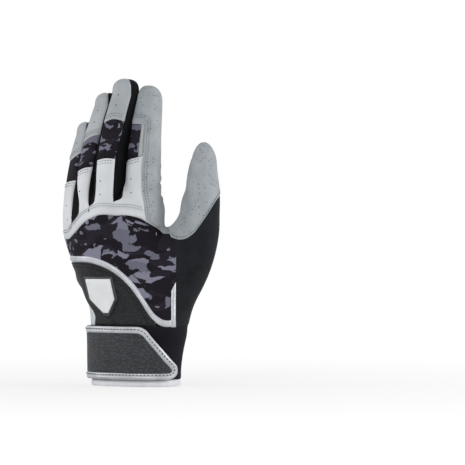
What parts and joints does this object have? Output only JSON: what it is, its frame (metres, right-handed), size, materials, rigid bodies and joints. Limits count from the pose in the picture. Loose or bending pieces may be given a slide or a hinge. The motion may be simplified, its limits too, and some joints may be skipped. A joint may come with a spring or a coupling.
{
  "type": "batting glove",
  "caption": "Left-hand batting glove of sewn panels, with bending fingers and thumb and a hook-and-loop wrist tab, standing on its open hem.",
  "frame": {"origin": "middle of the glove's box, at the foot of the hem", "axes": "+Z along the fingers, -Y out of the back of the hand, +X towards the thumb"},
  "size_m": [0.1258, 0.0682, 0.24],
  "materials": {
    "palm_leather": "smooth",
    "white_leather": "smooth",
    "suede": "suede",
    "tip_leather": "matte",
    "printed_fabric": "printed stretch knit",
    "side_fabric": "stretch knit",
    "crackle_leather": "crackle",
    "panel_fabric": "woven",
    "cuff_fabric": "smooth stretch",
    "silver_trim": "metallic coat",
    "badge_rubber": "moulded",
    "elastic": "elastic webbing",
    "fastener": "hook and loop"
  },
  "bodies": {
    "hand": {"knuckle_band": "white_leather", "index_side_suede": "suede", "back_panel": "printed_fabric", "long_trim": "silver_trim", "short_trim": "silver_trim", "wrist_panel": "crackle_leather", "badge": "badge_rubber", "palm_leather": "palm_leather", "thumb_side_panel": "panel_fabric", "thumb_suede": "suede", "thumb_palm_leather": "palm_leather", "cuff": "cuff_fabric", "hem_binding": "silver_trim", "wrist_elastic": "elastic", "loop_pad": "fastener", "tab_anchor": "crackle_leather"},
    "thumb_tip": {"thumb_tip_suede": "suede", "thumb_tip_leather": "palm_leather"},
    "wrist_tab": {"tab_shell": "crackle_leather", "tab_binding": "silver_trim", "hook_pad": "fastener"},
    "index_lower": {"index_knuckle_strip": "white_leather", "index_stretch_insert": "printed_fabric", "index_suede_wrap_lower": "suede", "index_ulnar_side_lower": "side_fabric", "index_palm_side_lower": "palm_leather"},
    "index_upper": {"index_tip_back": "suede", "index_suede_wrap_upper": "suede", "index_ulnar_side_upper": "side_fabric", "index_palm_side_upper": "palm_leather"},
    "middle_lower": {"middle_knuckle_strip": "white_leather", "middle_stretch_insert": "printed_fabric", "middle_radial_side_lower": "side_fabric", "middle_ulnar_side_lower": "side_fabric", "middle_palm_side_lower": "palm_leather"},
    "middle_upper": {"middle_tip_back": "tip_leather", "middle_radial_side_upper": "side_fabric", "middle_ulnar_side_upper": "side_fabric", "middle_palm_side_upper": "palm_leather"},
    "ring_lower": {"ring_knuckle_strip": "white_leather", "ring_stretch_insert": "printed_fabric", "ring_radial_side_lower": "side_fabric", "ring_ulnar_side_lower": "side_fabric", "ring_palm_side_lower": "palm_leather"},
    "ring_upper": {"ring_tip_back": "tip_leather", "ring_radial_side_upper": "side_fabric", "ring_ulnar_side_upper": "side_fabric", "ring_palm_side_upper": "palm_leather"},
    "little_lower": {"little_knuckle_strip": "white_leather", "little_stretch_insert": "printed_fabric", "little_radial_side_lower": "side_fabric", "little_palm_side_lower": "palm_leather"},
    "little_upper": {"little_tip_back": "tip_leather", "little_radial_side_upper": "side_fabric", "little_palm_side_upper": "palm_leather"}
  },
  "joints": [
    {"name": "index_root", "type": "hinge", "parent": "hand", "child": "index_lower", "pos_m": [0.01561, 0.00962, 0.14696], "axis": [-0.9962, 0, 0.0872], "range_deg": [0, 75]},
    {"name": "index_bend", "type": "hinge", "parent": "index_lower", "child": "index_upper", "pos_m": [0.01191, 0.0107, 0.19008], "axis": [-0.9962, 0, 0.0872], "range_deg": [0, 80], "deforming": ["index_stretch_insert"]},
    {"name": "middle_root", "type": "hinge", "parent": "hand", "child": "middle_lower", "pos_m": [-0.0054, -0.00328, 0.14884], "axis": [-0.9962, 0, 0.0872], "range_deg": [0, 75]},
    {"name": "middle_bend", "type": "hinge", "parent": "middle_lower", "child": "middle_upper", "pos_m": [-0.00887, -0.00416, 0.19008], "axis": [-0.9962, 0, 0.0872], "range_deg": [0, 80], "deforming": ["middle_stretch_insert"]},
    {"name": "ring_root", "type": "hinge", "parent": "hand", "child": "ring_lower", "pos_m": [-0.04297, 0.00099, 0.13149], "axis": [-0.9962, 0, 0.0872], "range_deg": [0, 75]},
    {"name": "ring_bend", "type": "hinge", "parent": "ring_lower", "child": "ring_upper", "pos_m": [-0.03333, 0.00256, 0.18312], "axis": [-0.9962, 0, 0.0872], "range_deg": [0, 80], "deforming": ["ring_stretch_insert"]},
    {"name": "little_root", "type": "hinge", "parent": "hand", "child": "little_lower", "pos_m": [-0.05239, 0.00835, 0.1244], "axis": [-0.9962, 0, 0.0872], "range_deg": [0, 75]},
    {"name": "little_bend", "type": "hinge", "parent": "little_lower", "child": "little_upper", "pos_m": [-0.05028, 0.01041, 0.168], "axis": [-0.9962, 0, 0.0872], "range_deg": [0, 80], "deforming": ["little_stretch_insert"]},
    {"name": "thumb_bend", "type": "hinge", "parent": "hand", "child": "thumb_tip", "pos_m": [0.04256, 0.02995, 0.15609], "axis": [-0.952, -0.306, 0], "range_deg": [0, 50]},
    {"name": "tab_opening", "type": "hinge", "parent": "hand", "child": "wrist_tab", "pos_m": [-0.03581, 0.00776, 0.02708], "axis": [0, 0, -1], "range_deg": [0, 150]}
  ]
}
